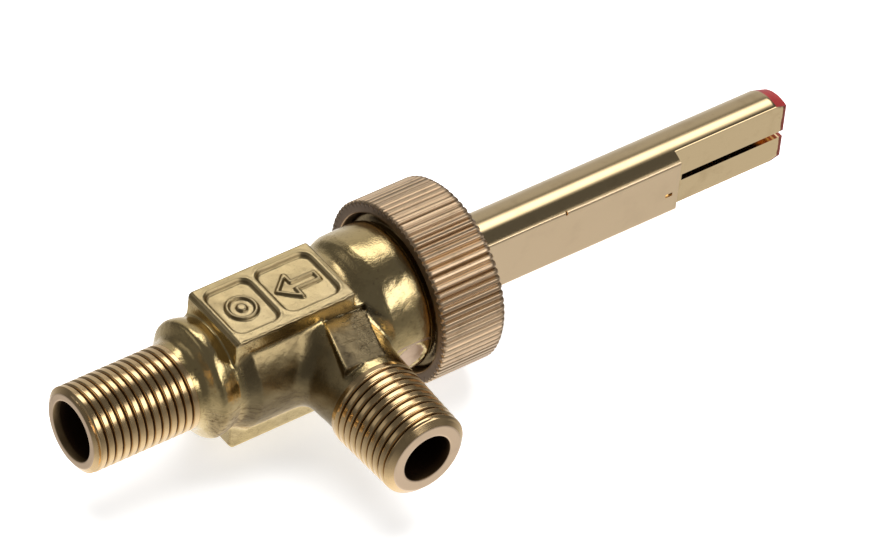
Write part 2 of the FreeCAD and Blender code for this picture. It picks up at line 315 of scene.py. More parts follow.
def forged_brass(colours):
    """Tumbled forging: soft wandering skin, fine grain, darker stains, matte pads."""
    material, shader, place = new_material("forged_brass", 1.0)
    x, y, z = split_mm(place)
    out = (y * y + z * z).math("SQRT")
    leg_x = x - LEG_X
    leg_out = (leg_x * leg_x + z * z).math("SQRT")
    stain = noise(place, 260.0, 4.0, 0.6).step(0.50, 0.72)
    fleck = noise(place, 2600.0, 3.0, 0.7).step(0.56, 0.72)
    broad = noise(place, 120.0, 2.0)
    scratch = noise(place, 1.0, 3.0, 0.7, (900.0, 2600.0, 3200.0)).step(0.46, 0.66)
    pad = z.step(6.7, 7.0) * x.step(31.75, 31.5)
    # Painted shade down the walls of the pad's pockets.
    pocket_wall = pad * z.step(7.04, 7.10) * z.step(7.32, 7.24)
    # Trimmed flash round the lower front: a scratchy, matte band.
    band = y.step(-4.2, -5.4) * z.step(1.0, -0.6) * z.step(-5.0, -4.0) * x.step(25.2, 23.0)
    # Painted shade: darker colour in the lee of the pad, on the web's face and in the passages.
    lee = (y.step(-3.9, -4.6) * z.step(5.8, 5.1) * z.step(-4.6, -2.0)
           * x.step(16.6, 17.6) * x.step(27.6, 25.6))
    web_edge = x - WEB_LEFT - (y + WEB_Y) * (WEB_LEAN_LEFT / WEB_LENGTH)
    web = (y.step(-4.40, -4.46) * y.step(-11.4, -11.1) * z.step(4.3, 4.6) * z.step(6.2, 5.6)
           * leg_out.step(7.2, 6.6) * web_edge.step(0.20, 0.34))
    # Painted shade in the bores and chamber and on the barrel's end inside the bonnet.
    inner = (out.step(3.5, 3.35)
             + out.step(6.3, 6.24) * x.step(18.6, 19.2) * y.step(-6.3, -6.2)
             + leg_out.step(2.95, 2.82) * y.step(-4.0, -6.0)
             + 0.7 * x.step(38.9, 39.05)).clamp()
    spot_out = y * -SPOT_WAY[0] - z * SPOT_WAY[1]
    spot = (spot_out.step(SPOT_OUT + 0.04, SPOT_OUT + 0.02)
            * spot_out.step(SPOT_OUT - 0.05, SPOT_OUT - 0.02) * x.step(34.5, 34.7))
    tone = blend_colours(broad.step(0.35, 0.65), colours.forged, WARM_PATCH)
    tone = blend_colours(stain * 0.30 + fleck * 0.34 + band * (0.25 + scratch * 0.45), tone,
                         colours.tarnish)
    # The lee, web, pocket-wall and passage masks paint shade; the pad and the milled spot get their
    # own tones.
    for mask, share, other in ((lee * 0.70 + web * 0.90, 1.0, LEE_AND_WEB_SHADE), (pad, 0.50, PAD_TONE),
                               (pocket_wall, 0.60, POCKET_WALL_SHADE), (spot, 0.80, MILLED_SPOT),
                               (inner, 0.92, PASSAGE_SHADE)):
        tone = blend_colours(mask * share, tone, other)
    rough = (0.11 + 0.05 * broad + 0.09 * stain + 0.07 * fleck + 0.19 * pad + 0.24 * band
             + 0.14 * web + 0.22 * spot + 0.20 * inner + 0.16 * lee)
    grain = noise(place, 4200.0, 4.0, 0.65)
    dents = noise(place, 800.0, 2.0, 0.5)
    streaks = noise(place, 1.0, 2.0, 0.6, (260.0, 3000.0, 3000.0)).step(0.5, 0.68)
    skin = bump(dents, 0.42, 0.00008)
    for height, strength in ((grain, 0.60), (scratch * (band + pad * 0.30), 0.6),
                             (streaks * (web + spot), 0.5)):
        skin = bump(height, strength, 0.00004, skin)
    connect(shader, {"Base Color": tone, "Roughness": rough, "Normal": skin})
    return material


def turned_brass(colours, name, axis, tone, rough, bore, bore_shade_share, groove, face,
                 face_tone_and_shade=CUT_FACE):
    """Machined surfaces: fine rings round the axis, grooves darkened by dirt and painted shade,
    painted shade in the bores.

    groove is the crest's radius, how dark the grooves are, and where they start and end.
    """
    material, shader, place = new_material(name, 1.0)
    x, y, z = split_mm(place)
    along, across = (y, x - LEG_X) if axis else (x, y)
    out = (across * across + z * z).math("SQRT")
    reach = out - (y - LEG_END) * TAPER if axis else out
    stretch = [60.0, 60.0, 60.0]
    stretch[axis] = 4200.0
    rings = noise(place, 1.0, 3.0, 0.6, stretch)
    patches = noise(place, 420.0, 4.0, 0.65)
    specks = noise(place, 3200.0, 2.0, 0.6)
    crest, groove_darkness, start, end = groove
    # Grooves below the crest are darkened: partly dirt, partly painted shade.
    low = (reach.step(crest, crest - 0.24) * along.step(start, start + 0.3)
           * along.step(end + 0.3, end))
    # The end face gets its own cut colour on the pipe ends and painted shade on the bonnet.
    rim = along.step(face + 0.04, face + 0.02)
    # Painted shade inside the bore.
    hollow = out.step(bore + 0.08, bore + 0.02)
    shade = blend_colours(patches.step(0.52, 0.74) * 0.30 + specks.step(0.6, 0.8) * 0.2, tone,
                          colours.tarnish)
    for mask, share, other in ((low, groove_darkness, GROOVE_DIRT_AND_SHADE), (rim, 0.7, face_tone_and_shade),
                               (hollow, bore_shade_share, BORE_SHADE)):
        shade = blend_colours(mask * share, shade, other)
    gloss = (rough + 0.08 * patches + 0.08 * rings + 0.25 * hollow + 0.15 * low + 0.20 * rim)
    skin = bump(rings, 0.20, 0.00002)
    skin = bump(specks, 0.15, 0.00002, skin)
    connect(shader, {"Base Color": shade, "Roughness": gloss, "Normal": skin})
    return material


def drawn_brass(colours):
    """Bright drawn bar: long drawing lines, satin milled flats, red paint on the tip."""
    material, shader, place = new_material("drawn_brass", 1.0)
    x, y = split_mm(place)[:2]
    lines = noise(place, 1.0, 4.0, 0.6, (90.0, 3600.0, 3600.0))
    cuts = noise(place, 1.0, 2.0, 0.5, (1500.0, 200.0, 200.0))
    patches = noise(place, 300.0, 3.0, 0.6)
    specks = noise(place, 2600.0, 3.0, 0.7).step(0.62, 0.78)
    flat = y.step(-2.40, -2.52) * y.step(-2.76, -2.70) * x.step(FLAT_START - 0.1, FLAT_START + 0.1)
    brushed = noise(place, 900.0, 3.0, 0.6) * 0.35
    painted = (x + brushed).step(STEM_END - 0.28, STEM_END - 0.20)
    tone = blend_colours(patches.step(0.5, 0.75) * 0.25 + specks * 0.25, colours.drawn,
                         DRAWN_STAIN)
    tone = blend_colours(flat * 0.6, tone, MILLED_FLAT)
    tone = blend_colours(painted * 0.9, tone, colours.paint)
    rough = 0.06 + 0.06 * lines + 0.05 * patches + 0.20 * flat
    skin = bump(lines, 0.12, 0.00002)
    skin = bump(cuts * flat, 0.25, 0.00002, skin)
    connect(shader, {"Base Color": tone, "Roughness": rough, "Normal": skin})
    return material


def plain_metal(name, base, rough, grain, dark=(0.1, 0.09, 0.08)):
    """Steel, bronze and lapped brass of the inner parts: dull patches and a fine grain."""
    material, shader, place = new_material(name, 1.0)
    patches = noise(place, 500.0, 4.0, 0.6)
    fine = noise(place, grain, 3.0, 0.6)
    connect(shader, {"Base Color": blend_colours(patches.step(0.45, 0.8) * 0.5, base, dark),
                     "Roughness": rough + 0.15 * patches, "Normal": bump(fine, 0.2, 0.00002)})
    return material


def soft_matter(name, base, light, rough, grain):
    """Rubber, fibre and paint: not metallic, with a fine uneven skin."""
    material, shader, place = new_material(name, 0.0)
    patches = noise(place, 700.0, 4.0, 0.6)
    fine = noise(place, grain, 4.0, 0.65)
    connect(shader, {"Base Color": blend_colours(patches.step(0.4, 0.75) * 0.6, base, light),
                     "Roughness": rough + 0.2 * patches, "Normal": bump(fine, 0.35, 0.00003)})
    return material


def material(name):
    found = bpy.data.materials.get(name)
    if found is None:
        raise RuntimeError("the finishes come first: no material named " + name)
    return found


# ---- mesh helpers
def new_piece(name, points, faces, finish, sharp=math.radians(38)):
    """An object from points in millimetres, shaded smooth but for its sharp edges."""
    mesh = bpy.data.meshes.new(name)
    faces = faces.tolist() if isinstance(faces, np.ndarray) else faces
    mesh.from_pydata((np.asarray(points) * MM).tolist(), [], faces)
    mesh.update()
    piece = bpy.data.objects.new(name, mesh)
    bpy.context.scene.collection.objects.link(piece)
    mesh.materials.append(material(finish))
    finish_shading(mesh, sharp)
    return piece


def finish_shading(mesh, sharp=math.radians(38)):
    mesh.validate()
    mesh.polygons.foreach_set("use_smooth", [True] * len(mesh.polygons))
    mesh.set_sharp_from_angle(angle=sharp)


def seal_in(piece, body, slot, *nodes):
    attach(piece, body)
    if nodes:
        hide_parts(*nodes)


def bake_modifiers(piece):
    """Turn a piece's evaluated shape into its plain mesh."""
    graph = bpy.context.evaluated_depsgraph_get()
    graph.update()
    made = bpy.data.meshes.new_from_object(piece.evaluated_get(graph))
    old = piece.data
    piece.modifiers.clear()
    piece.data = made
    bpy.data.meshes.remove(old)
    made.name = piece.name


def turn_profile(profile, segments):
    """Rings of points round the X axis from a closed (x, r) outline, and their quads."""
    profile = np.asarray(profile, float)
    angle = np.arange(segments) * (2 * math.pi / segments)
    x = np.repeat(profile[:, 0][:, None], segments, 1)
    y = profile[:, 1][:, None] * np.cos(angle)[None]
    z = profile[:, 1][:, None] * np.sin(angle)[None]
    points = np.stack([x, y, z], 2).reshape(-1, 3)
    ring = np.arange(len(profile))[:, None] * segments
    turn = np.arange(segments)[None]
    after = (turn + 1) % segments
    next_ring = np.roll(ring, -1, 0)
    faces = np.stack([ring + turn, next_ring + turn, next_ring + after, ring + after], 2)
    return points, faces.reshape(-1, 4)


def outline(points, spacing):
    """A closed outline with its long runs divided; each point may carry its own spacing."""
    made = []
    for first, second in zip(points, points[1:] + points[:1]):
        gap = first[2] if len(first) > 2 else spacing
        run = math.dist(first[:2], second[:2])
        count = max(1, round(run / gap))
        for step in range(count):
            t = step / count
            made.append((first[0] + (second[0] - first[0]) * t,
                         first[1] + (second[1] - first[1]) * t))
    return made


def combine(piece, other, operation="DIFFERENCE"):
    """Cut one closed mesh out of another, or join the two."""
    step = piece.modifiers.new("combine", "BOOLEAN")
    step.operation = operation
    step.object = other
    step.solver = "MANIFOLD"
    bake_modifiers(piece)
    old = other.data
    bpy.data.objects.remove(other)
    bpy.data.meshes.remove(old)
    if not piece.data.polygons:
        raise RuntimeError(piece.name + " was lost when it was combined")


# ---- geometry nodes
def new_rule(name, sizes):
    """A geometry tree with a mesh in and out, a material, and a named input for each size."""
    tree = bpy.data.node_groups.new(name, "GeometryNodeTree")
    tree.interface.new_socket("Geometry", in_out="INPUT", socket_type="NodeSocketGeometry")
    for label in sizes:
        tree.interface.new_socket(label, in_out="INPUT", socket_type="NodeSocketFloat")
    tree.interface.new_socket("Finish", in_out="INPUT", socket_type="NodeSocketMaterial")
    tree.interface.new_socket("Geometry", in_out="OUTPUT", socket_type="NodeSocketGeometry")
    entry = tree.nodes.new("NodeGroupInput")
    wires = {socket.name: Wire(tree, socket) for socket in entry.outputs if socket.name}
    return tree, wires


def close_rule(geometry, wires):
    """Every tree ends in Realize Instances and Set Material."""
    real = geometry.node("GeometryNodeRealizeInstances", None, {0: geometry})
    painted = geometry.node("GeometryNodeSetMaterial", None,
                            {"Geometry": real, "Material": wires["Finish"]})
    leave = geometry.tree.nodes.new("NodeGroupOutput")
    geometry.tree.links.new(painted.socket, leave.inputs[0])


def apply_rule(piece, tree, values):
    modifier = piece.modifiers.new(tree.name, "NODES")
    modifier.node_group = tree
    for item in tree.interface.items_tree:
        if item.item_type == "SOCKET" and item.in_out == "INPUT" and item.name in values:
            modifier[item.identifier] = values[item.name]
    bake_modifiers(piece)


def polar(start):
    """Each point's place, its three coordinates, its radius round X and its angle in turns."""
    place = start.node("GeometryNodeInputPosition")
    x, y, z = split(place)
    radius = (y * y + z * z).math("SQRT")
    turn = z.math("ARCTAN2", y) / (2 * math.pi)
    return place, x, y, z, radius, turn


def move_radius(geometry, parts, radius_new):
    """Set each point's radius round the X axis."""
    place, x, y, z, radius, _ = parts
    share = radius_new / radius.math("MAXIMUM", 1e-6)
    spot = place.node("ShaderNodeCombineXYZ", None, {0: x, 1: y * share, 2: z * share})
    return geometry.node("GeometryNodeSetPosition", None, {"Geometry": geometry, "Position": spot})


def thread_rule():
    """Cuts a helical groove into the outside of a turned blank."""
    sizes = ("Pitch", "Depth", "Crest", "Taper", "Run-out start", "Run-out end", "Guard")
    tree, wire = new_rule("cut_thread", sizes)
    parts = polar(wire["Geometry"])
    place, x, _, _, radius, turn = parts
    phase = (x / wire["Pitch"] - turn).math("FRACT")
    ridge = (1.0 - (phase * 2.0 - 1.0).math("ABSOLUTE")).step(0.0, 0.48)
    fade = x.step(wire["Run-out end"], wire["Run-out start"])
    # Tool chatter makes the groove's depth wander a little along the turns.
    chatter = place.node("ShaderNodeTexNoise", {"noise_dimensions": "3D"},
                         {"Vector": place, "Scale": 420.0, "Detail": 2.0})
    depth = wire["Depth"] * fade * (0.88 + 0.24 * chatter)
    cut = wire["Crest"] + wire["Taper"] * x - depth * (1.0 - ridge)
    outside = radius.math("GREATER_THAN", wire["Guard"])
    radius_new = radius + outside * (cut.math("MINIMUM", radius) - radius)
    close_rule(move_radius(wire["Geometry"], parts, radius_new), wire)
    return tree


def knurl_rule():
    """Presses straight ridges into the outside of a turned blank, no two quite alike."""
    tree, wire = new_rule("press_knurl", ("Ridges", "Depth", "Guard", "Seed"))
    parts = polar(wire["Geometry"])
    place, _, _, _, radius, turn = parts
    count = (turn + 0.5) * wire["Ridges"]
    index = count.math("FLOOR")
    chance = place.node("ShaderNodeTexWhiteNoise", {"noise_dimensions": "2D"},
                        {"Vector": place.node("ShaderNodeCombineXYZ", None,
                                              {0: index, 1: wire["Seed"]})})
    ridge = (1.0 - (count.math("FRACT") * 2.0 - 1.0).math("ABSOLUTE")).step(0.0, 0.62)
    depth = wire["Depth"] * (0.72 + 0.5 * chance)
    outside = radius.math("GREATER_THAN", wire["Guard"])
    radius_new = radius - outside * depth * (1.0 - ridge)
    close_rule(move_radius(wire["Geometry"], parts, radius_new), wire)
    return tree


def coil_rule():
    """Winds round wire into a spring along Z."""
    tree, wire = new_rule("wind_coil", ("Turns", "Mean radius", "Height", "Wire radius"))
    start = wire["Geometry"]
    spiral = start.node("GeometryNodeCurveSpiral", None,
                        {"Resolution": 72, "Rotations": wire["Turns"],
                         "Start Radius": wire["Mean radius"], "End Radius": wire["Mean radius"],
                         "Height": wire["Height"]})
    section = start.node("GeometryNodeCurvePrimitiveCircle", None,
                         {"Resolution": 16, "Radius": wire["Wire radius"]})
    tube = start.node("GeometryNodeCurveToMesh", None,
                      {"Curve": spiral, "Profile Curve": section, "Fill Caps": True})
    close_rule(tube, wire)
    return tree


# ---- the forged body's shape
def smooth_min(a, b, k):
    h = np.clip(0.5 + 0.5 * (b - a) / k, 0.0, 1.0)
    return b + (a - b) * h - k * h * (1.0 - h)


def smooth_max(a, b, k):
    return -smooth_min(-a, -b, k)


def ease(value):
    value = np.clip(value, 0.0, 1.0)
    return value * value * (3.0 - 2.0 * value)


class Turned:
    """A radius along an axis: straight runs between stations, softened into curves."""

    def __init__(self, stations, soft):
        self.low = stations[0][0] - 2.0
        self.gap = 0.02
        fine = np.arange(self.low, stations[-1][0] + 2.0, self.gap)
        radius = np.interp(fine, [s[0] for s in stations], [s[1] for s in stations])
        kernel = np.hanning(max(3, int(2 * soft / self.gap)))
        pad = len(kernel) // 2
        padded = np.pad(radius, pad, mode="edge")
        self.radius = np.convolve(padded, kernel / kernel.sum(), "same")[pad:-pad]
        self.slope = np.gradient(self.radius, self.gap)
        self.fine = fine

    def gap_to(self, along, out):
        radius = np.interp(along, self.fine, self.radius)
        slope = np.interp(along, self.fine, self.slope)
        return (out - radius) / np.sqrt(1.0 + slope * slope)


TRUNK = Turned([(11.5, 4.68), (12.5, 4.70), (13.0, 4.78), (13.5, 5.12), (13.85, 5.75),
                (14.15, 6.30), (14.6, 6.50), (15.3, 6.42), (16.6, 6.02), (17.4, 6.30),
                (18.6, 6.93), (31.6, 6.95), (32.3, 6.93), (33.0, 7.25), (33.7, 7.75),
                (34.5, 8.06), (35.4, 8.12), (37.5, 8.12), (39.3, 8.06)], 0.28)
LEG = Turned([(0.0, 5.7), (4.0, 5.34), (8.0, 5.12), (10.4, 4.98), (12.2, 4.88), (13.5, 4.88)],
             0.5)


def round_box(x, y, half_x, half_y, corner):
    """Distance to a rectangle with rounded corners, centred on the origin."""
    over_x = np.abs(x) - half_x + corner
    over_y = np.abs(y) - half_y + corner
    out = np.hypot(np.maximum(over_x, 0.0), np.maximum(over_y, 0.0))
    return out + np.minimum(np.maximum(over_x, over_y), 0.0) - corner


def to_segments(x, y, corners):
    """Distance to the line through the corners of a closed outline."""
    best = np.full(np.shape(x), 99.0)
    for (ax, ay), (bx, by) in zip(corners, corners[1:] + corners[:1]):
        dx, dy = bx - ax, by - ay
        t = np.clip(((x - ax) * dx + (y - ay) * dy) / (dx * dx + dy * dy), 0.0, 1.0)
        best = np.minimum(best, np.hypot(x - ax - t * dx, y - ay - t * dy))
    return best


def pad_height(x, y):
    """The top pad's surface: two shallow pockets, a ring with a dot, and a flow arrow."""
    small_x, large_x = 20.35, 27.20
    edge = np.minimum(round_box(x - small_x, y, 2.70, 3.35, 1.1),
                      round_box(x - large_x, y, 3.25, 3.35, 1.1))
    pocket = ease(0.5 - edge / 0.50)
    rim = ease(1.0 - np.abs(edge - 0.32) / 0.30)
    centre = np.hypot(x - small_x, y)
    ring = np.minimum(np.abs(centre - 1.52), np.maximum(centre - 0.35, 0.0))
    tail, neck, tip = 29.6, 26.7, 24.7
    shaft_half, head_half = 0.55, 1.75
    arrow = [(tail, -shaft_half), (neck, -shaft_half), (neck, -head_half), (tip, 0.0),
             (neck, head_half), (neck, shaft_half), (tail, shaft_half)]
    line = np.minimum(ring, to_segments(x, y, arrow))
    raised = ease((0.36 - line) / 0.30)
    return PAD_TOP - 0.04 - 0.46 * pocket + 0.05 * rim + 0.34 * raised * pocket


def wander(x, y, z):
    """The forged skin's slow unevenness, about -1 to 1."""
    total = np.zeros(np.shape(x))
    for fx, fy, fz, phase, share in ((0.9, 1.7, 1.3, 0.4, 0.30), (2.3, 0.8, 1.9, 2.1, 0.25),
                                     (1.6, 2.9, 0.7, 4.0, 0.20), (3.7, 2.1, 3.1, 1.2, 0.15),
                                     (5.2, 4.4, 3.9, 5.3, 0.10)):
        total = total + share * np.sin(fx * x + phase) * np.sin(fy * y + 1.7 * phase + fx * z)
        total = total + share * np.sin(fz * z + 0.6 * phase) * np.sin(fx * y - fy * x)
    return total


def body_field(x, y, z, wave):
    """Signed distance to the forging's skin, in millimetres, negative inside."""
    out = np.hypot(y, z)
    trunk = TRUNK.gap_to(x, out)
    # Pads, top and bottom, with a slanted outlet end.
    top = np.where(z > 0, z - pad_height(x, y), -z - PAD_TOP)
    start, end = PAD_X
    sides = smooth_max(np.maximum(start - x, x - end), np.abs(y) - PAD_HALF, 0.30)
    pads = smooth_max(sides, top, 0.28)
    bevel = (start - x + np.abs(z) - PAD_TOP + 0.5) / math.sqrt(2.0)
    pads = smooth_max(pads, bevel, 0.12)
    trunk = smooth_min(trunk, pads, 0.35)
    # Inlet leg, with a wide hollow blend on the outlet side.
    side = np.hypot(x - LEG_X, z)
    leg = LEG.gap_to(-y, side) - 0.25 * np.clip((x - LEG_X) / 5.0, -1.0, 1.0)
    leg = np.maximum(smooth_max(leg, -12.75 - y, 0.1), y)
    blend = 0.6 + 0.9 * ease((LEG_X + 1.0 - x) / 4.0)
    shape = smooth_min(trunk, leg, blend)
    # Flat web between the top pad and the leg, with a bright facet along its left edge; the
    # leg is trimmed level with it.
    along = (-y - WEB_Y) / WEB_LENGTH
    left = (WEB_LEFT - WEB_LEAN_LEFT * along) - x
    right = x - (WEB_RIGHT - WEB_LEAN_RIGHT * along)
    facet = 0.32 * np.clip(0.30 + left, 0.0, 0.6)
    plane = z - (WEB_TOP - WEB_FALL * along) - WEB_TILT * left + facet
    edges = np.maximum(np.maximum(left * 0.96, right), -y - WEB_Y - WEB_LENGTH - 0.05)
    web = smooth_max(smooth_max(plane, edges, 0.12), np.maximum(y + 3.0, -z), 0.1)
    shape = smooth_min(shape, web, 0.16)
    trim = np.minimum(plane, -np.maximum(edges, np.maximum(y + PAD_HALF, z - 6.5)))
    shape = smooth_max(shape, np.where(z > 0, trim, -9.0), 0.06)
    # Flash left along the pad's front edge.
    flash = np.hypot(y + PAD_HALF - 0.03, z - 7.28 - 0.06 * np.sin(3.1 * x)) - 0.12
    flash = smooth_max(flash, np.abs(x - 23.6) - 6.6, 0.2)
    shape = smooth_min(shape, flash, 0.16)
    shape = shape + wave * wander(x, y, z) * ease((PAD_TOP - 0.25 - np.abs(z)) / 0.3)
    # Rounded rear edge and the small milled flat; then the relief groove and thread spigot.
    shape = smooth_max(shape, x - BARREL_END, 0.40)
    flat = SPOT_OUT + SPOT_WAY[0] * y + SPOT_WAY[1] * z
    spot = np.hypot(x - SPOT_X, SPOT_WAY[0] * z - SPOT_WAY[1] * y) - SPOT_R
    shape = smooth_max(shape, -np.maximum(flat, spot), 0.08)
    core = np.maximum(out - 7.55, np.abs(x - 40.0) - 4.9)
    spigot = smooth_max(out - 8.62, np.abs(x - 42.4) - 2.5, 0.4)
    shape = np.minimum(shape, np.minimum(core, spigot))
    return np.maximum(shape, 12.05 - x)


def grid_line(spans):
    """Grid stations through spans of (end, spacing), starting from the first number."""
    line = [spans[0]]
    for end, gap in spans[1:]:
        count = max(1, round((end - line[-1]) / gap))
        line += list(np.linspace(line[-1], end, count + 1)[1:])
    return np.array(line)


def surface_net(field, lines):
    """A closed quad mesh where the field on a rectilinear grid changes sign."""
    grid = np.stack(np.meshgrid(*lines, indexing="ij"), 3)
    values = field(grid[..., 0], grid[..., 1], grid[..., 2])
    inside = values < 0
    cells = [n - 1 for n in values.shape]
    total = np.zeros(cells + [3])
    count = np.zeros(cells)
    crossings = []
    for axis in range(3):
        first = [slice(None)] * 3
        second = [slice(None)] * 3
        first[axis] = slice(0, -1)
        second[axis] = slice(1, None)
        first, second = tuple(first), tuple(second)
        crossed = inside[first] != inside[second]
        share = np.where(crossed, values[first] / (values[first] - values[second] + 1e-12), 0.0)
        point = grid[first] + (grid[second] - grid[first]) * share[..., None]
        point *= crossed[..., None]
        others = [a for a in range(3) if a != axis]
        for i in (0, 1):
            for j in (0, 1):
                pick = [slice(None)] * 3
                pick[others[0]] = slice(i, i + cells[others[0]])
                pick[others[1]] = slice(j, j + cells[others[1]])
                total += point[tuple(pick)]
                count += crossed[tuple(pick)]
        crossings.append((crossed, inside[first]))
    used = count > 0
    index = np.full(cells, -1)
    index[used] = np.arange(used.sum())
    points = total[used] / count[used][:, None]
    faces = []
    for axis, (crossed, starts_inside) in enumerate(crossings):
        b, c = (axis + 1) % 3, (axis + 2) % 3
        at = np.argwhere(crossed)
        keep = (at[:, b] > 0) & (at[:, c] > 0) & (at[:, b] < cells[b]) & (at[:, c] < cells[c])
        at = at[keep]
        forward = starts_inside[tuple(at.T)]
        corners = []
        for db, dc in ((-1, -1), (0, -1), (0, 0), (-1, 0)):
            near = at.copy()
            near[:, b] += db
            near[:, c] += dc
            corners.append(index[tuple(near.T)])
        quad = np.stack(corners, 1)
        quad[~forward] = quad[~forward][:, ::-1]
        faces.append(quad)
    return points, np.concatenate(faces)


def settle(points, field, limit, rounds=4):
    """Move points onto the field's zero surface along its slope."""
    tiny = 0.01
    start = points.copy()
    for _ in range(rounds):
        here = field(*points.T)
        slope = np.zeros_like(points)
        for axis in range(3):
            shift = np.zeros(3)
            shift[axis] = tiny
            slope[:, axis] = (field(*(points + shift).T) - field(*(points - shift).T)) / (2 * tiny)
        size = np.maximum((slope * slope).sum(1), 0.2)
        points = points - slope * (here / size)[:, None]
        drift = points - start
        far = np.linalg.norm(drift, axis=1)
        points = start + drift * np.minimum(1.0, limit / np.maximum(far, 1e-9))[:, None]
    return points


# ---- operators: one for each piece or group of like pieces
class MakeFinishes(bpy.types.Operator):
    """Make every finish and give the carried-over inner parts theirs"""
    bl_idname = "valve.finishes"
    bl_label = "Finishes"

    def execute(self, context):
        colours = context.scene.valve_colours
        for plain in list(bpy.data.materials):
            bpy.data.materials.remove(plain)
        forged_brass(colours)
        # The bonnet gets painted shade on its front face, in its bore and in its knurl's grooves.
        turned_brass(colours, "turned_brass", 0, colours.turned, rough=0.25, bore=8.80,
                     bore_shade_share=0.35, groove=(10.03, 0.55, 39.05, 46.5), face=BONNET_X[0],
                     face_tone_and_shade=BONNET_FACE_SHADE)
        turned_brass(colours, "outlet_brass", 0, colours.threaded, rough=0.11, bore=3.30,
                     bore_shade_share=0.60, groove=(4.68, 0.9, 0.6, 12.6), face=0.0)
        turned_brass(colours, "inlet_brass", 1, colours.threaded, rough=0.07, bore=2.80,
                     bore_shade_share=0.94, groove=(4.81, 0.9, LEG_END + 0.8, LEG_NECK), face=LEG_END)
        drawn_brass(colours)
        plain_metal("plated_steel", colours.steel, 0.25, 2500.0)
        plain_metal("spring_steel", (0.40, 0.39, 0.37), 0.22, 3500.0)
        plain_metal("bronze_bush", (0.62, 0.38, 0.20), 0.35, 4000.0, (0.16, 0.08, 0.03))
        plain_metal("lapped_brass", (0.70, 0.50, 0.22), 0.22, 5000.0, (0.20, 0.11, 0.03))
        soft_matter("red_paint", colours.paint, (0.36, 0.05, 0.045), 0.32, 2500.0)
        soft_matter("nitrile_rubber", colours.rubber, (0.05, 0.05, 0.05), 0.5, 3000.0)
        soft_matter("fibre_gasket", colours.fibre, (0.30, 0.15, 0.08), 0.7, 5000.0)
        for part in frame["record"]["subparts"]:
            data = frame["nodes"][part["node"]].data
            data.materials.clear()
            data.materials.append(material(part["material_slot"]))
        return {"FINISHED"}


class MakeBody(bpy.types.Operator):
    """Make the forged body with its pads, leg, web and inner passages"""
    bl_idname = "valve.body"
    bl_label = "Forged body"

    def execute(self, context):
        sizes = context.scene.valve_sizes
        coarse = sizes.body_step / MM
        fine = coarse * 0.72
        wave = sizes.forging_wave / MM

        def field(x, y, z):
            return body_field(x, y, z, wave)

        lines = [grid_line([11.6, (16.3, coarse), (31.8, fine), (45.4, coarse * 1.1)]),
                 grid_line([-13.2, (-4.8, coarse), (4.8, fine), (9.2, coarse * 1.15)]),
                 grid_line([-9.2, (6.8, coarse * 1.08), (7.7, 0.09), (9.2, coarse)])]
        points, faces = surface_net(field, lines)
        points = settle(points, field, coarse * 0.6)
        body = new_piece("forged_body", points, faces, "forged_brass")
        # Outlet passage, taper seat and spring chamber; then the leg's bore.
        axis_r = 0.02
        inner = outline([(11.0, axis_r), (11.0, OUTLET_BORE_R), (SEAT_X[0], OUTLET_BORE_R),
                         (SEAT_X[0], SEAT_R[0]), (SEAT_X[1], SEAT_R[1]), (SEAT_X[1], CHAMBER_R),
                         (LEDGE_X, CHAMBER_R), (LEDGE_X, LEDGE_R), (46.0, LEDGE_R),
                         (46.0, axis_r)], 99)
        passage = new_piece("passage", *turn_profile(inner[::-1], 96), "forged_brass")
        combine(body, passage)
        inner = outline([(2.0, axis_r), (2.0, LEG_BORE_R), (13.2, LEG_BORE_R), (13.2, axis_r)], 99)
        points, faces = turn_profile(inner[::-1], 72)
        points = np.stack([points[:, 1] + LEG_X, -points[:, 0], points[:, 2]], 1)
        bore = new_piece("bore", points, faces, "forged_brass")
        combine(body, bore)
        finish_shading(body.data, math.radians(50))
        seal_in(body, "root", "forged_brass", "valve_body")
        return {"FINISHED"}


class MakeThreads(bpy.types.Operator):
    """Make the outlet's parallel thread and the inlet's taper thread"""
    bl_idname = "valve.threads"
    bl_label = "Pipe threads"

    def execute(self, context):
        sizes = context.scene.valve_sizes
        rule = thread_rule()
        run = LEG_NECK - LEG_END
        lead = OUTLET_BORE_R + 0.12, LEG_BORE_R + 0.10
        threads = (("outlet_thread", "outlet_brass", OUTLET_R + 0.005, 0.0, 11.9, 13.2,
                    [(0.12, OUTLET_BORE_R, 0.1), (0.0, lead[0], 0.15), (0.0, 4.06, 0.05),
                     (0.45, OUTLET_R, 0.06), (12.9, OUTLET_R, 0.3), (12.9, OUTLET_BORE_R, 1.5)]),
                   ("inlet_thread", "inlet_brass", 4.85, TAPER, 8.6, 9.8,
                    [(0.10, LEG_BORE_R, 0.1), (0.0, lead[1], 0.15), (0.0, 4.08, 0.08),
                     (0.52, 4.76, 0.06), (0.70, 4.87, 0.06), (9.05, 5.13, 0.06),
                     (run, 5.02, 0.3), (run, LEG_BORE_R, 1.5)]))
        onto_leg = Matrix(((0, -1, 0, LEG_X * MM), (1, 0, 0, LEG_END * MM),
                           (0, 0, 1, 0), (0, 0, 0, 1)))
        for name, finish, crest, taper, fade_start, fade_end, blank in threads:
            piece = new_piece(name, *turn_profile(outline(blank, 1.5), 200), finish)
            apply_rule(piece, rule, {"Pitch": sizes.thread_pitch, "Depth": sizes.thread_depth,
                                     "Guard": THREAD_GUARD * MM, "Crest": crest * MM,
                                     "Taper": taper, "Run-out start": fade_start * MM,
                                     "Run-out end": fade_end * MM, "Finish": material(finish)})
            if taper:
                piece.data.transform(onto_leg)
            finish_shading(piece.data, math.radians(60))
            seal_in(piece, "root", "forged_brass")
        return {"FINISHED"}


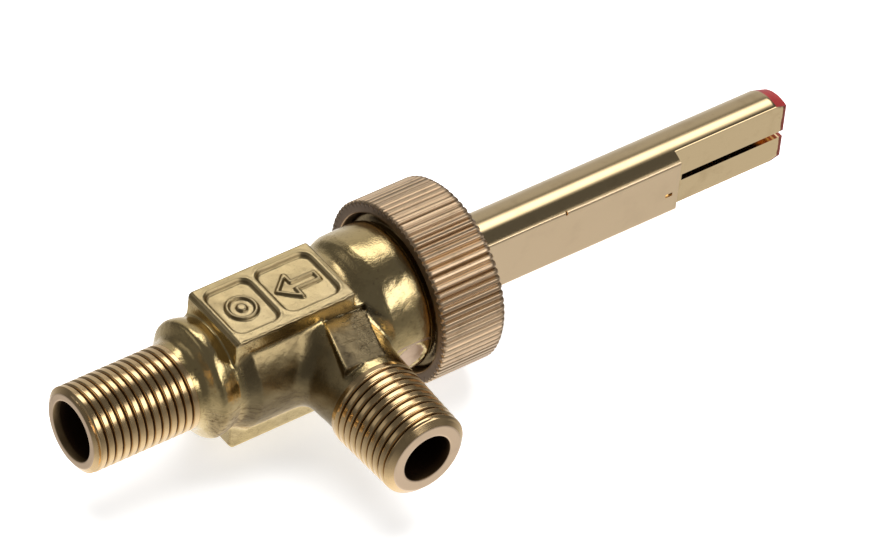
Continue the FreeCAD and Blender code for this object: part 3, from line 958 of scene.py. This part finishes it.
class MakeBonnet(bpy.types.Operator):
    """Make the knurled bonnet nut"""
    bl_idname = "valve.bonnet"
    bl_label = "Knurled bonnet"

    def execute(self, context):
        sizes = context.scene.valve_sizes
        front, back = BONNET_X
        blank = outline([(front, BONNET_MOUTH_R, 0.2), (front, BONNET_R - 0.19, 0.06),
                         (front + 0.18, BONNET_R, 0.4), (back - 0.42, BONNET_R, 0.12),
                         (back, BONNET_R - 0.40, 0.6), (back, HUB_R + 0.25, 0.1),
                         (back + 0.25, HUB_R, 0.4), (HUB_END - 0.3, HUB_R, 0.1),
                         (HUB_END, HUB_R - 0.3, 0.3), (HUB_END, HUB_BORE_R, 0.6),
                         (BONNET_ROOF_X, HUB_BORE_R, 1.5), (BONNET_ROOF_X, BONNET_THREAD_R, 1.5),
                         (front + 0.3, BONNET_THREAD_R, 0.2)], 1.0)
        points, faces = turn_profile(blank, sizes.knurl_count * 10)
        bonnet = new_piece("bonnet_nut", points, faces, "turned_brass")
        apply_rule(bonnet, knurl_rule(), {"Ridges": float(sizes.knurl_count),
                                          "Depth": sizes.knurl_depth, "Guard": 9.60 * MM,
                                          "Seed": 7.0, "Finish": material("turned_brass")})
        finish_shading(bonnet.data, math.radians(75))
        seal_in(bonnet, "root", "turned_brass", "knurled_bonnet")
        return {"FINISHED"}


def bar_radius(x):
    """The stem before its flats are milled: neck, shoulder, bar and chamfered tip."""
    return np.interp(x, [*NECK_X, STEM_END - 1.4, STEM_END - 0.12, STEM_END],
                     [STEM_R - 0.3, STEM_R, STEM_R, 3.70, 3.64])


def stem_radius(x, angle):
    """The stem's skin round its axis: a round bar with its front milled to flats."""
    across = -np.cos(angle)                 # 1 towards the front
    least, far = 0.02, 30.0
    flat = np.interp(x, [FLAT_STEP - 3.0, FLAT_STEP + 3.0], FLAT_DEPTHS[:2])
    flat = np.where(x > DEEP_START, FLAT_DEPTHS[2], flat)
    reach = np.where(across > least, flat / np.maximum(across, least), far)
    reach = np.where(x < FLAT_START, far, np.minimum(reach, far))
    return smooth_min(bar_radius(x), reach, 0.13)


def skin_rings(stations, radius_at, segments=320):
    """A closed skin through rings of points round the X axis."""
    x, turn = np.meshgrid(stations, np.arange(segments) * (2 * math.pi / segments), indexing="ij")
    radius = radius_at(x, turn)
    points = np.stack([x, radius * np.cos(turn), radius * np.sin(turn)], 2).reshape(-1, 3)
    ring = np.arange(len(stations) - 1)[:, None] * segments
    place = np.arange(segments)[None]
    after = (place + 1) % segments
    quads = np.stack([ring + place, ring + after, ring + segments + after,
                      ring + segments + place], 2).reshape(-1, 4)
    last = (len(stations) - 1) * segments
    ends = [tuple(range(segments - 1, -1, -1)), tuple(range(last, last + segments))]
    return points, [tuple(quad) for quad in quads] + ends


def block_mesh(name, low, high, finish):
    """A plain cutting block between two corners."""
    points = [(x, y, z) for x in (low[0], high[0]) for y in (low[1], high[1])
              for z in (low[2], high[2])]
    faces = [(0, 1, 3, 2), (4, 6, 7, 5), (0, 4, 5, 1), (2, 3, 7, 6), (0, 2, 6, 4), (1, 5, 7, 3)]
    return new_piece(name, points, faces, finish)


class MakeStem(bpy.types.Operator):
    """Make the stem with its flats, split tip and tail, and the paint on its tip"""
    bl_idname = "valve.stem"
    bl_label = "Stem"

    def execute(self, context):
        tail_start, tongue_start = 38.2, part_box("stem")[0].x / MM
        steps = [*NECK_X, *np.arange(44.4, STEM_END - 1.4, 0.45)]
        for place in (FLAT_START, DEEP_START):
            steps += [place - 0.001, place + 0.001]
        steps = np.array(sorted(steps + list(np.linspace(STEM_END - 1.4, STEM_END - 0.12, 8))))
        shaft = new_piece("stem_shaft", *skin_rings(steps, stem_radius), "drawn_brass",
                          math.radians(32))
        tail = outline([(tail_start, 0.02), (tail_start, TAIL_R - 0.3),
                        (tail_start + 0.3, TAIL_R), (43.62, TAIL_R), (43.62, 0.02)], 1.2)
        tail = new_piece("stem_tail", *turn_profile(tail[::-1], 64), "drawn_brass")
        combine(shaft, tail, "UNION")
        tongue = block_mesh("tongue", (tongue_start, -1.0, -4.2), (tail_start + 0.5, 1.0, 4.2),
                            "drawn_brass")
        combine(shaft, tongue, "UNION")
        for name, near, far in (("split", (SPLIT_START, -6, -0.80), (STEM_END + 2, 6, 0.0)),
                                ("detent_mark", (73.15, -4, -0.95), (74.05, -2.34, -0.50)),
                                ("tick", (59.75, -3.3, 2.95), (60.0, -2.38, 3.6))):
            combine(shaft, block_mesh(name, near, far, "drawn_brass"))
        finish_shading(shaft.data, math.radians(32))
        seal_in(shaft, "stem", "drawn_brass", "stem")
        return {"FINISHED"}


class MakeSpring(bpy.types.Operator):
    """Wind the stem's return spring"""
    bl_idname = "valve.spring"
    bl_label = "Stem spring"

    def execute(self, context):
        sizes = context.scene.valve_sizes
        low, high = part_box("stem_spring")
        wire = sizes.coil_wire
        mean = (high.z - low.z) / 2 - wire
        spring = new_piece("spring_coil", [(0, 0, 0), (1, 0, 0), (0, 1, 0)], [(0, 1, 2)],
                           "spring_steel")
        apply_rule(spring, coil_rule(), {"Turns": sizes.coil_turns, "Mean radius": mean,
                                         "Height": high.x - low.x - 2.1 * wire, "Wire radius": wire,
                                         "Finish": material("spring_steel")})
        spring.data.transform(Matrix.Translation((low.x + 1.05 * wire, 0, 0))
                              @ Matrix.Rotation(math.pi / 2, 4, "Y"))
        finish_shading(spring.data)
        seal_in(spring, "plug", "spring_steel", "stem_spring")
        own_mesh(spring)
        return {"FINISHED"}


def camera_matrix():
    """Where the camera stands, from its angles, distance and offsets."""
    azimuth, height, roll = -0.69313, 0.75290, 0.10256
    away, shift_x, shift_y = 0.74335, 0.013722, 0.005599
    back = Vector((math.sin(azimuth) * math.cos(height), -math.cos(azimuth) * math.cos(height),
                   math.sin(height)))
    level = Vector((math.cos(azimuth), math.sin(azimuth), 0.0))
    rise = back.cross(level)
    right = math.cos(roll) * level + math.sin(roll) * rise
    up = -math.sin(roll) * level + math.cos(roll) * rise
    spot = back * away + right * shift_x + up * shift_y + Vector((LEG_X * MM, 0, 0))
    turned = Matrix((right, up, back)).transposed().to_4x4()
    return Matrix.Translation(spot) @ turned


def soft_light(name, spot, aim, size, power):
    """A square area light at spot, turned towards aim."""
    data = bpy.data.lights.new(name, "AREA")
    data.shape = "RECTANGLE"
    data.size = data.size_y = size
    data.energy = power
    lamp = bpy.data.objects.new(name, data)
    lamp.location = spot
    lamp.rotation_euler = (Vector(aim) - Vector(spot)).to_track_quat("-Z", "Y").to_euler()
    bpy.context.scene.collection.objects.link(lamp)
    return lamp


def soft_box(way, aim, half_width, half_height, edge):
    """1 inside a softbox hung in direction aim and seen from the middle, 0 outside it."""
    ahead = Vector(aim).normalized()
    level = Vector((0, 0, 1)).cross(ahead).normalized()
    rise = ahead.cross(level)
    parts = [way.node("ShaderNodeVectorMath", {"operation": "DOT_PRODUCT"},
                      {0: way, 1: tuple(axis)}, "Value") for axis in (ahead, level, rise)]
    depth = parts[0].math("MAXIMUM", 0.05)
    across = (parts[1] / depth).math("ABSOLUTE")
    upward = (parts[2] / depth).math("ABSOLUTE")
    inside = across.step(half_width + edge, half_width - edge)
    inside = inside * upward.step(half_height + edge, half_height - edge)
    return inside * parts[0].step(0.05, 0.15)


def studio_world(scene):
    """A dim studio with its softboxes, a pale wall behind and a bright table below."""
    world = bpy.data.worlds.new("studio")
    scene.world = world
    world.use_nodes = True
    sky = world.node_tree.nodes["Background"]
    start = Wire(world.node_tree, sky.outputs[0])
    way = start.node("ShaderNodeTexCoord", None, None, "Generated")
    x, y, z = split(way)
    below = (0.0 - z).clamp()
    table = below.node("ShaderNodeValToRGB",
                       {"stops": [(0.0, 0.0), (0.10, 0.05), (0.22, 0.12), (0.50, 0.34),
                                  (0.70, 0.56), (0.85, 0.88), (1.0, 0.95)]}, {"Fac": below})
    back_table = y.step(0.25, 0.75) * x.step(-0.1, 0.4) * z.step(0.05, -0.35)
    table = table * (1.0 - 0.25 * x.step(0.1, -0.4))
    glow = 0.10 + table + 0.38 * back_table
    for bright, aim, half_width, half_height, edge in SOFT_BOXES:
        glow = glow + bright * soft_box(way, aim, half_width, half_height, edge)
    # The camera itself sees plain white behind the floor.
    sees = start.node("ShaderNodeLightPath", None, None, "Is Camera Ray")
    strength = glow + sees * (1.0 - glow)
    world.node_tree.links.new(strength.socket, sky.inputs["Strength"])
    sky.inputs["Color"].default_value = (1, 1, 1, 1)


class MakeStage(bpy.types.Operator):
    """Lay the pale floor, hang the soft lights and place the camera"""
    bl_idname = "valve.stage"
    bl_label = "Stage"

    def execute(self, context):
        scene = context.scene
        studio = scene.valve_studio
        floor = bpy.data.meshes.new("floor")
        low = cad_box[0].z
        corners = ((-3.0, -3.0), (3.0, -3.0), (3.0, 3.0), (-3.0, 3.0))
        floor.from_pydata([(x, y, low) for x, y in corners], [], [(0, 1, 2, 3)])
        finish = bpy.data.materials.new("pale_floor")
        finish.use_nodes = True
        shader = finish.node_tree.nodes["Principled BSDF"]
        # The floor is a light table: it glows, so shadows on it stay faint.
        for key, value in (("Base Color", rgba(scene.valve_colours.floor)), ("Roughness", 0.9),
                           ("Specular IOR Level", 0.0), ("Emission Color", (1, 1, 1, 1)),
                           ("Emission Strength", 0.62)):
            shader.inputs[key].default_value = value
        floor.materials.append(finish)
        piece = bpy.data.objects.new("floor", floor)
        scene.collection.objects.link(piece)
        piece.visible_glossy = False
        studio_world(scene)
        # This light only whitens the floor, so the brass doesn't show it.
        lamp = soft_light("floor_light", (0.2, 0.25, 0.9), (0.04, 0, 0), 0.9,
                          studio.overhead)
        lamp.visible_glossy = False
        lens = bpy.data.cameras.new("camera")
        lens.lens = studio.lens
        lens.sensor_width = 36.0
        lens.clip_start = 0.01
        camera = bpy.data.objects.new("camera", lens)
        camera.matrix_world = camera_matrix()
        scene.collection.objects.link(camera)
        scene.camera = camera
        scene.view_settings.view_transform = "Standard"
        return {"FINISHED"}


class ValvePanel(bpy.types.Panel):
    """Lists the makers of the valve's pieces"""
    bl_idname = "VIEW3D_PT_valve"
    bl_label = "Gas burner valve"
    bl_space_type = "VIEW_3D"
    bl_region_type = "UI"
    bl_category = "Valve"

    def draw(self, context):
        for maker in MAKERS:
            self.layout.operator(maker.bl_idname)
        for group in (context.scene.valve_sizes, context.scene.valve_colours,
                      context.scene.valve_studio):
            box = self.layout.box()
            for key in group.__annotations__:
                box.prop(group, key)


MAKERS = (MakeFinishes, MakeBody, MakeThreads, MakeBonnet, MakeStem, MakeSpring, MakeStage)
CLASSES = (ValveSizes, ValveColours, ValveStudio, *MAKERS, ValvePanel)
GROUPS = {"valve_sizes": ValveSizes, "valve_colours": ValveColours, "valve_studio": ValveStudio}


def register():
    for made in CLASSES:
        bpy.utils.register_class(made)
    for name, group in GROUPS.items():
        setattr(bpy.types.Scene, name, PointerProperty(type=group))


def unregister():
    for name in GROUPS:
        delattr(bpy.types.Scene, name)
    for made in reversed(CLASSES):
        bpy.utils.unregister_class(made)


def main():
    register()
    for maker in MAKERS:
        family, action = maker.bl_idname.split(".")
        getattr(getattr(bpy.ops, family), action)()


if __name__ == "__main__":
    main()
